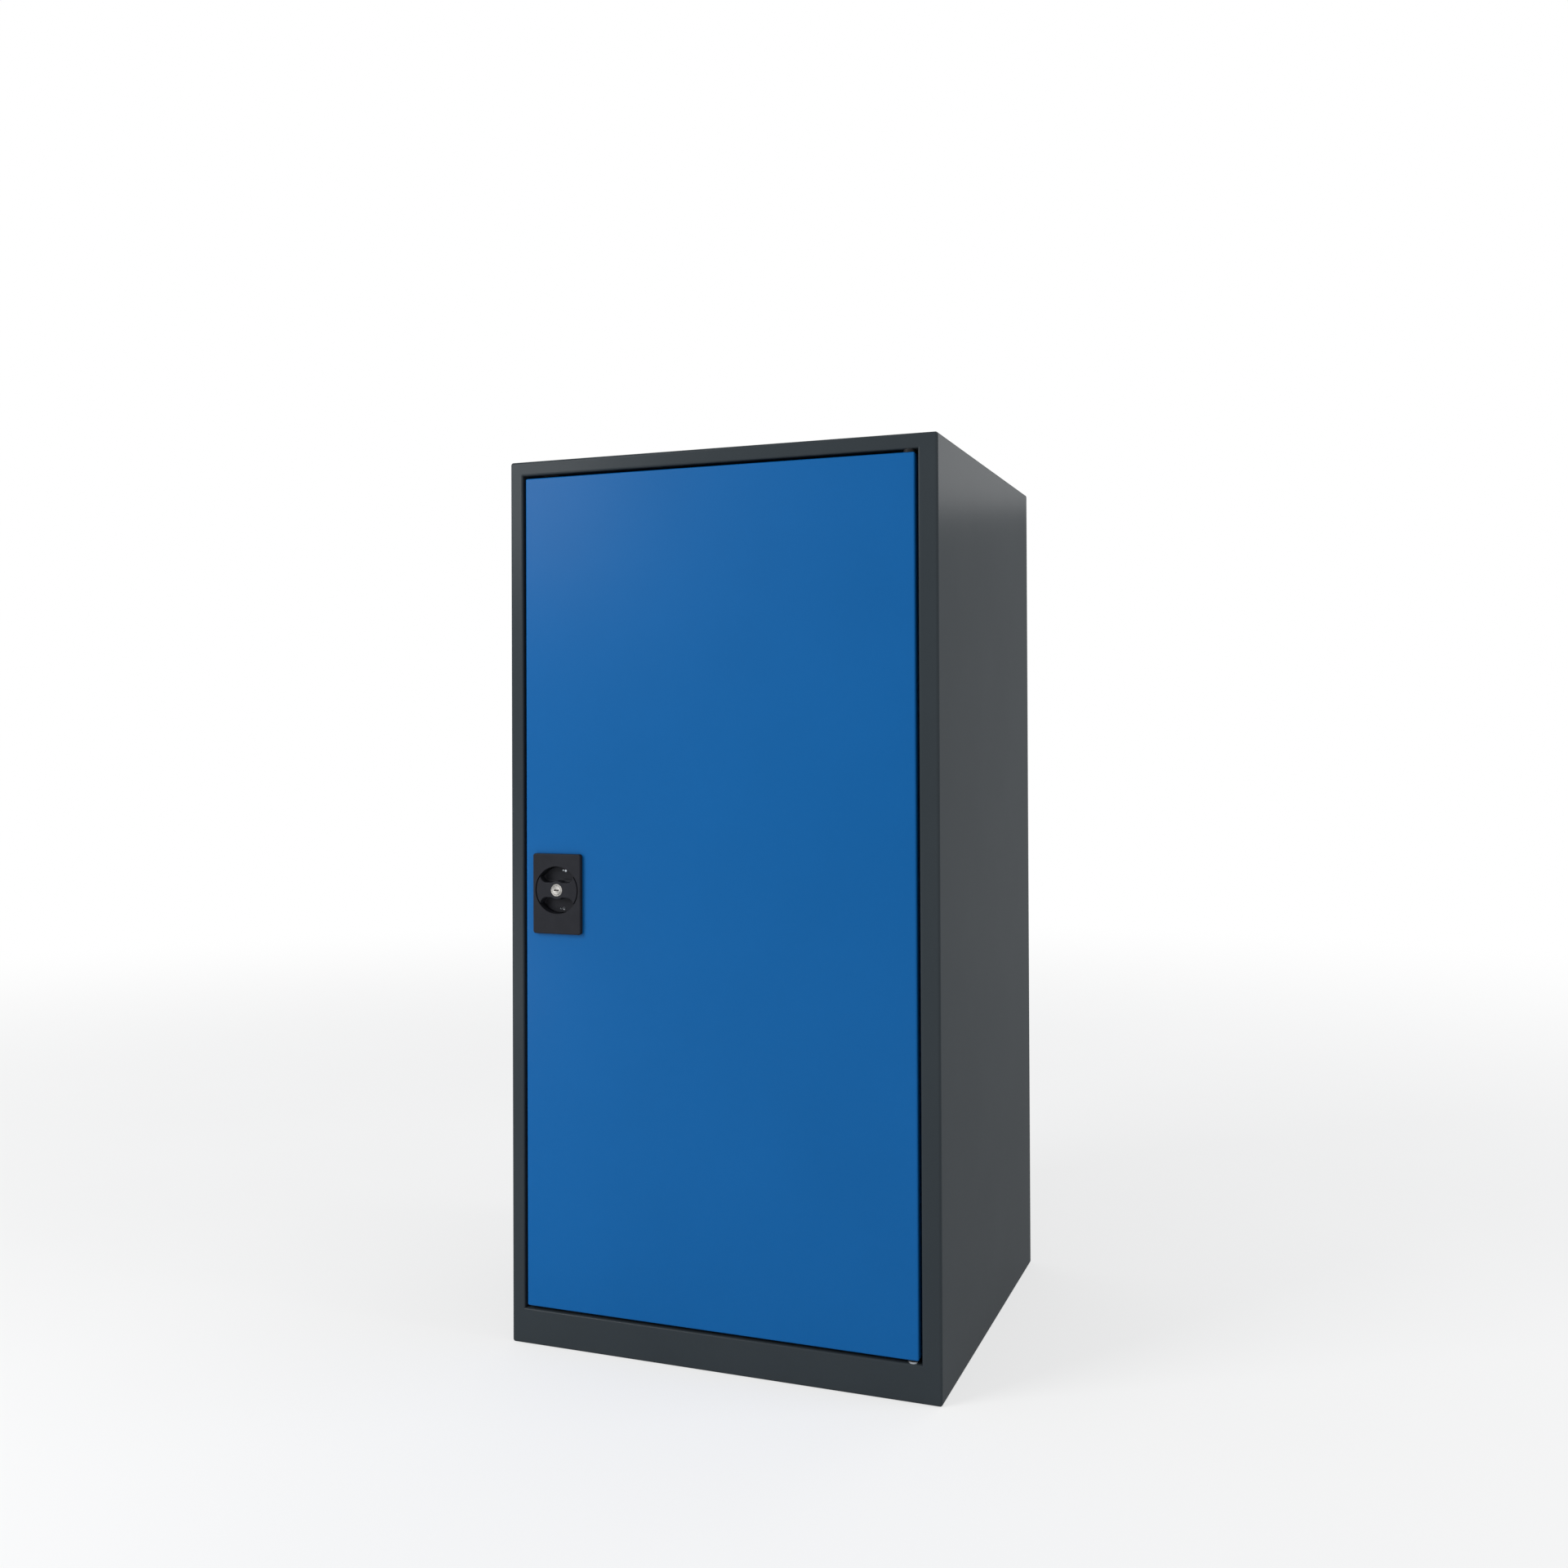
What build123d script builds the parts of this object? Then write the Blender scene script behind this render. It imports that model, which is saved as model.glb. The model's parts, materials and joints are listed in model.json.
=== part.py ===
from build123d import *
import os
from math import acos, cos, pi, radians, sin, tan

# A chemical storage cabinet of folded sheet steel with one flush pivoted door.
# X runs to the right seen from the front, Y runs to the back, Z runs up.
# The origin is the middle of the carcass footprint on the floor; lengths are millimetres.

# Carcass
cabinet_width = 500.0
cabinet_depth = 470.0
cabinet_height = 1000.0
sheet = 1.0
edge_radius = 3.0
rim_radius = 2.0
lock_stile = 16.0
hinge_stile = 21.0
top_rail = 16.0
plinth = 40.0
stop_width = 12.0
stop_clearance = 3.0
foot_flange = 20.0
wall_hole_radius = 4.0
wall_hole_spacing = 300.0
wall_hole_drop = 60.0
overrun = 4.0

# Floor and sump tray
floor_rise = 5.0
floor_flange = 20.0
floor_notch = 4.0
sump_width = 410.0
sump_height = 50.0
sump_setback = 12.0
sump_corner = 8.0
sump_rim = 8.0

# Uprights, clips and shelves
upright_width = 24.0
upright_depth = 12.0
upright_sheet = 1.2
upright_inset = 55.0
upright_bottom = 110.0
upright_headroom = 60.0
slot_pitch = 25.0
slot_width = 14.0
slot_height = 3.2
shelf_slots = (8, 17, 26)
clip_width = 12.0
clip_sheet = 1.5
clip_ledge = 15.0
clip_leg = 10.0
clip_tongue = 3.5
shelf_side_gap = 2.0
shelf_setback = 14.0
shelf_back_gap = 9.0
shelf_lip = 25.0
shelf_corner = 4.0
shelf_sheet = 1.0

# Door
door_gap = 3.5
door_depth = 22.0
door_sheet = 1.0
door_edge_radius = 2.0
door_hem = 18.0
stiffener_web = 60.0
stiffener_flange = 15.0
stiffener_rise = 18.0
stiffener_end_gap = 14.0
buffer_radius = 5.0
buffer_play = 0.2
buffer_end_gap = 150.0

# Pivot hinges
pivot_inset = 7.0
pin_radius = 4.0
pin_reach = 14.0
collar_radius = 6.0
pivot_play = 0.05
lift_play = 0.5
bush_wall = 1.4
bush_flange = 1.5
bush_flange_radius = 6.5
bush_length = 12.0
hinge_plate = 3.0
hinge_plate_length = 42.0
hinge_plate_width = 18.0
hinge_plate_margin = 1.0
nut_height = 6.0
nut_radius = 6.4
pin_tail = 1.5

# Lock plate and knob
lock_inset = 60.5
lock_height = 514.8
plate_width = 60.0
plate_height = 90.0
plate_drop = 4.3
plate_proud = 5.0
plate_corner = 3.0
plate_edge = 1.5
dish_radius = 26.75
dish_wall = 1.5
dish_depth = 14.5
dish_floor = 2.0
cutout_play = 0.35
boss_offset = 36.0
boss_radius = 3.2
screw_radius = 1.9
screw_head_radius = 3.4
screw_head = 2.2
screw_grip = 8.0
knob_play = 0.5
knob_ring = 1.1
knob_edge = 0.9
scoop_depth = 10.5
scoop_overlap = 3.0
scoop_corner = 8.0
scoop_floor_radius = 2.0
grip_width = 16.6
grip_boss_radius = 10.3
grip_blend = 4.0
hub_radius = 8.0
hub_play = 0.1
socket_wall = 0.6
fit_play = 0.05

# Key cylinder and lock bolt
cylinder_radius = 7.0
cylinder_proud = 0.5
cylinder_length = 8.5
plug_radius = 5.0
keyway_length = 6.4
keyway_width = 1.6
keyway_depth = 6.0
drive_pin_radius = 1.0
drive_pin_throw = 2.5
drive_pin_play = 0.2
bolt_sheet = 2.5
bolt_width = 11.0
bolt_play = 0.15
bolt_setback = 0.5
bolt_heel = 2.4
pocket_play = 0.4

# Gear, spindle and latch cam
gear_module = 1.5
pinion_teeth = 12
spare_teeth = 2
pressure_angle = radians(25)
gear_backlash = 0.2
root_clearance_share = 0.25
flank_steps = 4
gear_thickness = 5.0
gear_gap = 1.0
spindle_side = 7.0
journal_radius = 5.5
cam_sheet = 3.0
cam_width = 16.0
cam_reach = 40.0
cam_gap = 0.5
cam_screw_radius = 2.0
cam_screw_head_radius = 4.2
cam_screw_head = 2.4
cam_screw_grip = 8.0

# Lock case, rods, guides and keepers
case_wall = 1.5
case_half_width = 21.5
case_half_height = 30.0
ear_width = 12.0
ear_end = 5.0
rod_width = 10.0
rod_end_inset = 1.0
rod_point = 2.0
rod_tail = 1.2
rod_play = 0.4
guide_length = 20.0
guide_wall = 4.0
guide_inset = 35.0
keeper_wall = 1.5
keeper_flange = 1.0
keeper_lip = 2.5
keeper_stand = 2.0

# Places that follow from the sizes
left = -cabinet_width / 2
right = cabinet_width / 2
front = -cabinet_depth / 2
back = cabinet_depth / 2
opening_left = left + lock_stile
opening_right = right - hinge_stile
opening_bottom = plinth
opening_top = cabinet_height - top_rail
stop_front = front + door_depth + stop_clearance
stop_back = stop_front + sheet
door_left = opening_left + door_gap
door_right = opening_right - door_gap
door_bottom = opening_bottom + door_gap
door_top = opening_top - door_gap
door_back = front + door_depth
pivot_x = door_right - pivot_inset
pivot_y = front + pivot_inset
floor_top = plinth + floor_rise
lock_x = left + lock_inset
plate_face = front - plate_proud
dish_bottom = plate_face + dish_depth
dish_back = dish_bottom + dish_floor
knob_back = dish_bottom - knob_play
scoop_bottom = plate_face + scoop_depth
gear_front = dish_back + gear_gap
gear_back = gear_front + gear_thickness
pitch_radius = gear_module * pinion_teeth / 2
rod_travel = pitch_radius * pi / 2
rod_center = pitch_radius - gear_module + rod_width / 2
rod_middle = (gear_front + gear_back) / 2
case_back = gear_back + gear_gap + case_wall
cam_front = stop_back + cam_gap
cam_back = cam_front + cam_sheet
upright_top = cabinet_height - upright_headroom
web_face = right - sheet - upright_depth


def block(low, high, mode=Mode.ADD):
    """A box between two opposite corners."""
    middle = tuple((a + b) / 2 for a, b in zip(low, high))
    with Locations(middle):
        Box(*(b - a for a, b in zip(low, high)), mode=mode)


def facing(depth):
    """A plane seen from the front: its x runs right, its y runs up, its normal points at the viewer."""
    return Plane(origin=(0, depth, 0), x_dir=(1, 0, 0), z_dir=(0, -1, 0))


def lock_plane(depth):
    """The same kind of plane with its origin on the knob's axis."""
    return Plane(origin=(lock_x, depth, lock_height), x_dir=(1, 0, 0), z_dir=(0, -1, 0))


def save(piece, name):
    """Label one piece and write its file."""
    piece.part.label = name
    export_step(piece.part, f"parts/{name}.step")


os.makedirs("parts", exist_ok=True)

# The folded carcass is first made in one go, so that all its bends run on, and then parted into panels.
with BuildPart() as carcass_core:
    block((left + sheet, front + sheet, sheet), (right - sheet, back - sheet, cabinet_height - sheet))
    fillet(carcass_core.edges(), edge_radius - sheet)
    block(
        (opening_left - sheet, front - overrun, opening_bottom - sheet),
        (opening_right + sheet, stop_back, opening_top + sheet),
        mode=Mode.SUBTRACT,
    )
    core_rim = carcass_core.faces().sort_by(Axis.Y)[0].inner_wires()[0].edges()
    fillet(core_rim, rim_radius - sheet)

with BuildPart() as carcass:
    block((left, front, 0), (right, back, cabinet_height))
    fillet(carcass.edges(), edge_radius)
    block(
        (opening_left, front - overrun, opening_bottom),
        (opening_right, stop_front, opening_top),
        mode=Mode.SUBTRACT,
    )
    opening_rim = carcass.faces().sort_by(Axis.Y)[0].inner_wires()[0].edges()
    fillet(opening_rim, rim_radius)
    add(carcass_core.part, mode=Mode.SUBTRACT)
    # The way in, inside the stop flange
    block(
        (opening_left + stop_width, stop_front - overrun, opening_bottom + stop_width),
        (opening_right - stop_width, stop_back + overrun, opening_top - stop_width),
        mode=Mode.SUBTRACT,
    )
    # The underside stays open inside its foot flange
    block(
        (opening_left, front + foot_flange, -overrun),
        (opening_right, back - foot_flange, sheet + overrun),
        mode=Mode.SUBTRACT,
    )

# Side panels: skin, stile, door stop and the narrow flanges at top, back and bottom
with BuildPart() as left_side_panel:
    block(
        (left - overrun, front - overrun, -overrun),
        (opening_left, back + overrun, cabinet_height + overrun),
    )
    block((opening_left, stop_front, opening_bottom), (opening_left + stop_width, stop_back, opening_top))
    add(carcass.part, mode=Mode.INTERSECT)
save(left_side_panel, "left_side_panel")

with BuildPart() as right_side_panel:
    block(
        (opening_right, front - overrun, -overrun),
        (right + overrun, back + overrun, cabinet_height + overrun),
    )
    block((opening_right - stop_width, stop_front, opening_bottom), (opening_right, stop_back, opening_top))
    add(carcass.part, mode=Mode.INTERSECT)
save(right_side_panel, "right_side_panel")

# Top panel: the lid, the rail over the door and its stop
with BuildPart() as top_panel:
    block(
        (opening_left, front - overrun, opening_top),
        (opening_right, back + overrun, cabinet_height + overrun),
    )
    block(
        (opening_left + stop_width, stop_front, opening_top - stop_width),
        (opening_right - stop_width, stop_back, opening_top),
    )
    add(carcass.part, mode=Mode.INTERSECT)
    with BuildSketch(Plane.XY.offset(opening_top)):
        with Locations((pivot_x, pivot_y)):
            Circle(pin_radius + fit_play)
        with Locations((lock_x - rod_center, rod_middle)):
            Rectangle(
                rod_width + (rod_play + keeper_wall + fit_play) * 2,
                gear_thickness + (rod_play + keeper_wall + fit_play) * 2,
            )
    extrude(amount=sheet + overrun, mode=Mode.SUBTRACT)
save(top_panel, "top_panel")

# Base panel: the plinth under the door and its stop
with BuildPart() as base_panel:
    block((opening_left, front - overrun, -overrun), (opening_right, 0, opening_bottom))
    block(
        (opening_left + stop_width, stop_front, opening_bottom),
        (opening_right - stop_width, stop_back, opening_bottom + stop_width),
    )
    add(carcass.part, mode=Mode.INTERSECT)
    with BuildSketch(Plane.XY.offset(opening_bottom)):
        with Locations((pivot_x, pivot_y)):
            Circle(pin_radius + fit_play)
        with Locations((lock_x + rod_center, rod_middle)):
            Rectangle(
                rod_width + (rod_play + keeper_wall + fit_play) * 2,
                gear_thickness + (rod_play + keeper_wall + fit_play) * 2,
            )
    extrude(amount=-sheet - overrun, mode=Mode.SUBTRACT)
save(base_panel, "base_panel")

# Back panel, with two holes to tie the cabinet to a wall
with BuildPart() as back_panel:
    block((opening_left, 0, -overrun), (opening_right, back + overrun, opening_top))
    add(carcass.part, mode=Mode.INTERSECT)
    with BuildSketch(facing(back)):
        with Locations((0, cabinet_height - wall_hole_drop)):
            with GridLocations(wall_hole_spacing, 0, 2, 1):
                Circle(wall_hole_radius)
    extrude(amount=sheet + overrun, mode=Mode.SUBTRACT)
save(back_panel, "back_panel")

# Floor panel, a shallow upside-down tray welded between the walls
with BuildPart() as floor_panel:
    block((left + sheet, stop_back, floor_top - floor_flange), (right - sheet, back - sheet, floor_top))
    block(
        (left + sheet * 2, stop_back + sheet, floor_top - floor_flange - overrun),
        (right - sheet * 2, back - sheet * 2, floor_top - sheet),
        mode=Mode.SUBTRACT,
    )
    # Corner notches that clear the bends of the rear corners
    for x in (left + sheet, right - sheet):
        with Locations((x, back - sheet, floor_top)):
            Box(floor_notch * 2, floor_notch * 2, (floor_flange + overrun) * 2, mode=Mode.SUBTRACT)
save(floor_panel, "floor_panel")

# Sump tray that catches spills, loose on the floor panel
sump_middle = (opening_left + stop_width + door_right - door_depth) / 2
sump_front = stop_back + sump_setback
sump_back = back - sheet - sump_setback
sump_depth = sump_back - sump_front
with BuildPart() as sump_tray:
    block(
        (sump_middle - sump_width / 2, sump_front, floor_top),
        (sump_middle + sump_width / 2, sump_back, floor_top + sump_height),
    )
    fillet(sump_tray.edges().filter_by(Axis.Z), sump_corner)
    with BuildSketch(Plane.XY.offset(floor_top + sheet)):
        with Locations((sump_middle, (sump_front + sump_back) / 2)):
            RectangleRounded(sump_width - sheet * 2, sump_depth - sheet * 2, sump_corner - sheet)
    extrude(amount=sump_height + overrun, mode=Mode.SUBTRACT)
    with BuildSketch(Plane.XY.offset(floor_top + sump_height - sheet)):
        with Locations((sump_middle, (sump_front + sump_back) / 2)):
            RectangleRounded(sump_width + sump_rim * 2, sump_depth + sump_rim * 2, sump_corner + sump_rim)
            RectangleRounded(
                sump_width - sheet * 2, sump_depth - sheet * 2, sump_corner - sheet, mode=Mode.SUBTRACT
            )
    extrude(amount=sheet)
save(sump_tray, "sump_tray")

# Slotted uprights, channels with their open side on the wall
slot_count = int((upright_top - upright_bottom) / slot_pitch)


def slot_level(number):
    """Height of one slot, counted from the lowest."""
    return upright_bottom + slot_pitch * (number + 1 / 2)


def upright(name, side, y):
    """One upright on the left (side -1) or right (side 1) wall."""
    wall = side * (right - sheet)
    with BuildPart() as channel:
        with BuildSketch(Plane.XY.offset(upright_bottom)):
            with Locations((wall - side * upright_depth / 2, y)):
                Rectangle(upright_depth, upright_width)
            inner_depth = upright_depth - upright_sheet
            with Locations((wall - side * inner_depth / 2, y)):
                Rectangle(inner_depth, upright_width - upright_sheet * 2, mode=Mode.SUBTRACT)
        extrude(amount=upright_top - upright_bottom)
        for number in range(slot_count):
            z = slot_level(number)
            with Locations((side * web_face, y, z)):
                Box(upright_sheet * 2 + overrun, slot_width, slot_height, mode=Mode.SUBTRACT)
    save(channel, name)


front_row = front + upright_inset
rear_row = back - upright_inset
upright("upright_front_left", -1, front_row)
upright("upright_rear_left", -1, rear_row)
upright("upright_front_right", 1, front_row)
upright("upright_rear_right", 1, rear_row)

# Shelf clips, one under each shelf corner: a ledge with a tongue in the slot and a leg on the web
shelf_levels = [slot_level(number) + clip_sheet / 2 for number in shelf_slots]
with BuildPart() as shelf_clips:
    for level in shelf_levels:
        for side in (-1, 1):
            for row in (front_row, rear_row):
                inner = side * (web_face - clip_ledge)
                outer = side * (web_face + clip_tongue)
                leg = side * (web_face - clip_sheet)
                low_row = row - clip_width / 2
                high_row = row + clip_width / 2
                block(
                    (min(inner, outer), low_row, level - clip_sheet),
                    (max(inner, outer), high_row, level),
                )
                block(
                    (min(leg, side * web_face), low_row, level - clip_leg),
                    (max(leg, side * web_face), high_row, level - clip_sheet),
                )
save(shelf_clips, "shelf_clips")

# Tray shelves with an upturned lip on all sides
shelf_width = (web_face - shelf_side_gap) * 2
shelf_front = stop_back + shelf_setback
shelf_back = back - sheet - shelf_back_gap


def shelf(name, level):
    """One tray shelf whose underside lies on its clips."""
    with BuildPart() as tray:
        block((-shelf_width / 2, shelf_front, level), (shelf_width / 2, shelf_back, level + shelf_lip))
        fillet(tray.edges().filter_by(Axis.Z), shelf_corner)
        with BuildSketch(Plane.XY.offset(level + shelf_sheet)):
            with Locations((0, (shelf_front + shelf_back) / 2)):
                RectangleRounded(
                    shelf_width - shelf_sheet * 2,
                    shelf_back - shelf_front - shelf_sheet * 2,
                    shelf_corner - shelf_sheet,
                )
        extrude(amount=shelf_lip, mode=Mode.SUBTRACT)
    save(tray, name)


for name, level in zip(("shelf_lower", "shelf_middle", "shelf_upper"), shelf_levels):
    shelf(name, level)

# Hinge plates, welded inside the rail and the plinth to carry the pivot pins
plate_right = opening_right - hinge_plate_margin
plate_front = front + rim_radius + hinge_plate_margin


def hinge_reinforcement(name, low):
    """One thick plate with the pin's hole."""
    with BuildPart() as strap:
        block(
            (plate_right - hinge_plate_length, plate_front, low),
            (plate_right, plate_front + hinge_plate_width, low + hinge_plate),
        )
        with BuildSketch(Plane.XY.offset(low)):
            with Locations((pivot_x, pivot_y)):
                Circle(pin_radius + fit_play)
        extrude(amount=hinge_plate + overrun, mode=Mode.SUBTRACT)
    save(strap, name)


hinge_reinforcement("hinge_plate_top", opening_top + sheet)
hinge_reinforcement("hinge_plate_bottom", opening_bottom - sheet - hinge_plate)


def pivot_pin(name, frame_face, into_door, collar):
    """A pin through the frame, with a collar in the door gap and its end in the door's bush."""
    tail = sheet + hinge_plate + nut_height + pin_tail
    with BuildPart() as pin:
        with BuildSketch(Plane.XY.offset(frame_face - into_door * tail)):
            with Locations((pivot_x, pivot_y)):
                Circle(pin_radius)
        extrude(amount=into_door * (tail + door_gap + pin_reach))
        with BuildSketch(Plane.XY.offset(frame_face)):
            with Locations((pivot_x, pivot_y)):
                Circle(collar_radius)
        extrude(amount=into_door * collar)
    save(pin, name)


# The lower collar carries the door; the upper one leaves a little lift
pivot_pin("hinge_pin_top", opening_top, -1, door_gap - bush_flange - lift_play)
pivot_pin("hinge_pin_bottom", opening_bottom, 1, door_gap - bush_flange)

with BuildPart() as hinge_nuts:
    for low in (opening_top + sheet + hinge_plate, opening_bottom - sheet - hinge_plate - nut_height):
        with BuildSketch(Plane.XY.offset(low)):
            with Locations((pivot_x, pivot_y)):
                RegularPolygon(nut_radius, 6)
                Circle(pin_radius + fit_play, mode=Mode.SUBTRACT)
        extrude(amount=nut_height)
save(hinge_nuts, "hinge_nuts")


def rod_keeper(name, frame_face, out, x):
    """A flanged sleeve in the frame's return that guides the end of one rod."""
    inner = (rod_width + rod_play * 2, gear_thickness + rod_play * 2)
    outer = [size + keeper_wall * 2 for size in inner]
    lip = [size + keeper_lip * 2 for size in outer]
    with BuildPart() as sleeve:
        with BuildSketch(Plane.XY.offset(frame_face)):
            with Locations((x, rod_middle)):
                Rectangle(*outer)
        extrude(amount=out * (sheet + keeper_stand))
        with BuildSketch(Plane.XY.offset(frame_face)):
            with Locations((x, rod_middle)):
                Rectangle(*lip)
        extrude(amount=-out * keeper_flange)
        with BuildSketch(Plane.XY.offset(frame_face - out * (keeper_flange + overrun))):
            with Locations((x, rod_middle)):
                Rectangle(*inner)
        extrude(amount=out * (overrun + keeper_flange + sheet + keeper_stand + overrun), mode=Mode.SUBTRACT)
    save(sleeve, name)


rod_keeper("rod_keeper_top", opening_top, 1, lock_x - rod_center)
rod_keeper("rod_keeper_bottom", opening_bottom, -1, lock_x + rod_center)

# Rubber buffers on the lock-side stop
with BuildPart() as door_buffers:
    with BuildSketch(facing(stop_front)):
        for z in (opening_bottom + buffer_end_gap, opening_top - buffer_end_gap):
            with Locations((opening_left + stop_width / 2, z)):
                Circle(buffer_radius)
    extrude(amount=stop_clearance - buffer_play)
save(door_buffers, "door_buffers")

# Door skin: a folded pan with a hem round its back, cut for the lock, the pivots and the rods
with BuildPart() as pan_core:
    block(
        (door_left + door_sheet, front + door_sheet, door_bottom + door_sheet),
        (door_right - door_sheet, door_back - door_sheet, door_top - door_sheet),
    )
    fillet(
        pan_core.faces().sort_by(Axis.Y)[0].edges() + pan_core.edges().filter_by(Axis.Y),
        door_edge_radius - door_sheet,
    )

with BuildPart() as door_skin:
    block((door_left, front, door_bottom), (door_right, door_back, door_top))
    fillet(
        door_skin.faces().sort_by(Axis.Y)[0].edges() + door_skin.edges().filter_by(Axis.Y),
        door_edge_radius,
    )
    add(pan_core.part, mode=Mode.SUBTRACT)
    block(
        (door_left + door_hem, door_back - door_sheet - overrun, door_bottom + door_hem),
        (door_right - door_hem, door_back + overrun, door_top - door_hem),
        mode=Mode.SUBTRACT,
    )
    with BuildSketch(lock_plane(front + door_sheet)):
        Rectangle(
            (dish_radius + dish_wall + cutout_play) * 2,
            (boss_offset + boss_radius + cutout_play) * 2,
        )
    extrude(amount=door_sheet + overrun, mode=Mode.SUBTRACT)
    for z, x in ((door_top, lock_x - rod_center), (door_bottom, lock_x + rod_center)):
        with BuildSketch(Plane.XY.offset(z)):
            with Locations((x, rod_middle)):
                Rectangle(rod_width + rod_play * 2, gear_thickness + rod_play * 2)
            with Locations((pivot_x, pivot_y)):
                Circle(pin_radius + pivot_play + bush_wall + fit_play)
        extrude(amount=door_sheet + overrun, both=True, mode=Mode.SUBTRACT)
save(door_skin, "door_skin")

# Door stiffener, a hat section along the middle of the door
door_middle = (door_left + door_right) / 2
skin_back = front + door_sheet
with BuildPart() as door_stiffener:
    with BuildSketch(Plane.XY.offset(door_bottom + stiffener_end_gap)):
        with Locations((door_middle, skin_back + stiffener_rise / 2)):
            Rectangle(stiffener_web, stiffener_rise)
        with Locations((door_middle, skin_back + door_sheet / 2)):
            Rectangle(stiffener_web + stiffener_flange * 2, door_sheet)
        with Locations((door_middle, skin_back + (stiffener_rise - door_sheet) / 2)):
            Rectangle(stiffener_web - door_sheet * 2, stiffener_rise - door_sheet, mode=Mode.SUBTRACT)
    extrude(amount=door_top - door_bottom - stiffener_end_gap * 2)
save(door_stiffener, "door_stiffener")


def pivot_bush(name, door_face, inward):
    """A flanged bush in the door's top or bottom return."""
    with BuildPart() as bush:
        with BuildSketch(Plane.XY.offset(door_face)):
            with Locations((pivot_x, pivot_y)):
                Circle(pin_radius + pivot_play + bush_wall)
        extrude(amount=inward * bush_length)
        with BuildSketch(Plane.XY.offset(door_face)):
            with Locations((pivot_x, pivot_y)):
                Circle(bush_flange_radius)
        extrude(amount=-inward * bush_flange)
        with BuildSketch(Plane.XY.offset(door_face - inward * (bush_flange + overrun))):
            with Locations((pivot_x, pivot_y)):
                Circle(pin_radius + pivot_play)
        extrude(amount=inward * (bush_length + bush_flange + overrun * 2), mode=Mode.SUBTRACT)
    save(bush, name)


pivot_bush("pivot_bush_top", door_top, -1)
pivot_bush("pivot_bush_bottom", door_bottom, 1)

# The drive pin that moves the lock bolt swings a quarter turn about its lowest point
pin_side = drive_pin_throw * sin(pi / 4)
bolt_front = plate_face - cylinder_proud + cylinder_length + bolt_play
bolt_back = bolt_front + bolt_sheet
knob_radius = dish_radius - knob_ring
bolt_tip = knob_radius - bolt_setback

# Lock plate: a moulded face plate with a round dish behind it and two screw bosses
with BuildPart() as lock_plate:
    with BuildSketch(lock_plane(front)):
        with Locations((0, -plate_drop)):
            RectangleRounded(plate_width, plate_height, plate_corner)
    extrude(amount=plate_proud)
    fillet(lock_plate.faces().sort_by(Axis.Y)[0].edges(), plate_edge)
    with BuildSketch(lock_plane(dish_back)):
        Circle(dish_radius + dish_wall)
        with GridLocations(0, boss_offset * 2, 1, 2):
            Circle(boss_radius)
    extrude(amount=dish_back - front)
    with BuildSketch(lock_plane(dish_bottom)):
        Circle(dish_radius)
    extrude(amount=dish_depth + overrun, mode=Mode.SUBTRACT)
    with BuildSketch(lock_plane(dish_back)):
        Circle(hub_radius + hub_play)
    extrude(amount=dish_floor + overrun, both=True, mode=Mode.SUBTRACT)
    with BuildSketch(lock_plane(dish_back)):
        with GridLocations(0, boss_offset * 2, 1, 2):
            Circle(screw_radius + fit_play)
    extrude(amount=screw_grip, mode=Mode.SUBTRACT)
    # Pockets for the lock bolt: knob across, and knob upright
    pocket_half = bolt_width / 2 + pocket_play
    with BuildSketch(lock_plane(bolt_back + pocket_play)):
        with Locations((-dish_radius - dish_wall / 2, 0)):
            Rectangle(dish_wall * 2 + overrun, pocket_half * 2)
        with Locations((0, dish_radius + dish_wall / 2)):
            Rectangle(pocket_half * 2, dish_wall * 2 + overrun)
    extrude(amount=bolt_sheet + pocket_play * 2, mode=Mode.SUBTRACT)
save(lock_plate, "lock_plate")

# Lock case: a folded cap over the gear, with two ears for its screws
cavity_back = case_back - case_wall
with BuildPart() as lock_case:
    with BuildSketch(lock_plane(case_back)):
        Rectangle(case_half_width * 2, case_half_height * 2)
    extrude(amount=case_back - dish_back)
    with BuildSketch(lock_plane(cavity_back)):
        Rectangle((case_half_width - case_wall) * 2, (case_half_height - case_wall) * 2)
    extrude(amount=cavity_back - dish_back + overrun, mode=Mode.SUBTRACT)
    ear_top = boss_offset + ear_end
    ear_foot = case_half_height - case_wall
    with BuildSketch(lock_plane(dish_back + case_wall)):
        with GridLocations(0, ear_top + ear_foot, 1, 2):
            Rectangle(ear_width, ear_top - ear_foot)
        with GridLocations(0, boss_offset * 2, 1, 2):
            Circle(screw_radius + fit_play, mode=Mode.SUBTRACT)
    extrude(amount=case_wall)
    with BuildSketch(lock_plane(cavity_back)):
        Circle(journal_radius + hub_play)
    extrude(amount=case_wall + overrun, both=True, mode=Mode.SUBTRACT)
    for side in (-1, 1):
        with Locations((lock_x + side * rod_center, rod_middle, lock_height - side * case_half_height)):
            Box(
                rod_width + rod_play * 2,
                gear_thickness + rod_play * 2,
                case_wall * 2 + overrun,
                mode=Mode.SUBTRACT,
            )
save(lock_case, "lock_case")

with BuildPart() as lock_screws:
    with BuildSketch(lock_plane(dish_back + case_wall)):
        with GridLocations(0, boss_offset * 2, 1, 2):
            Circle(screw_head_radius)
    extrude(amount=-screw_head)
    with BuildSketch(lock_plane(dish_back + case_wall)):
        with GridLocations(0, boss_offset * 2, 1, 2):
            Circle(screw_radius)
    extrude(amount=screw_grip)
save(lock_screws, "lock_screws")


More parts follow.
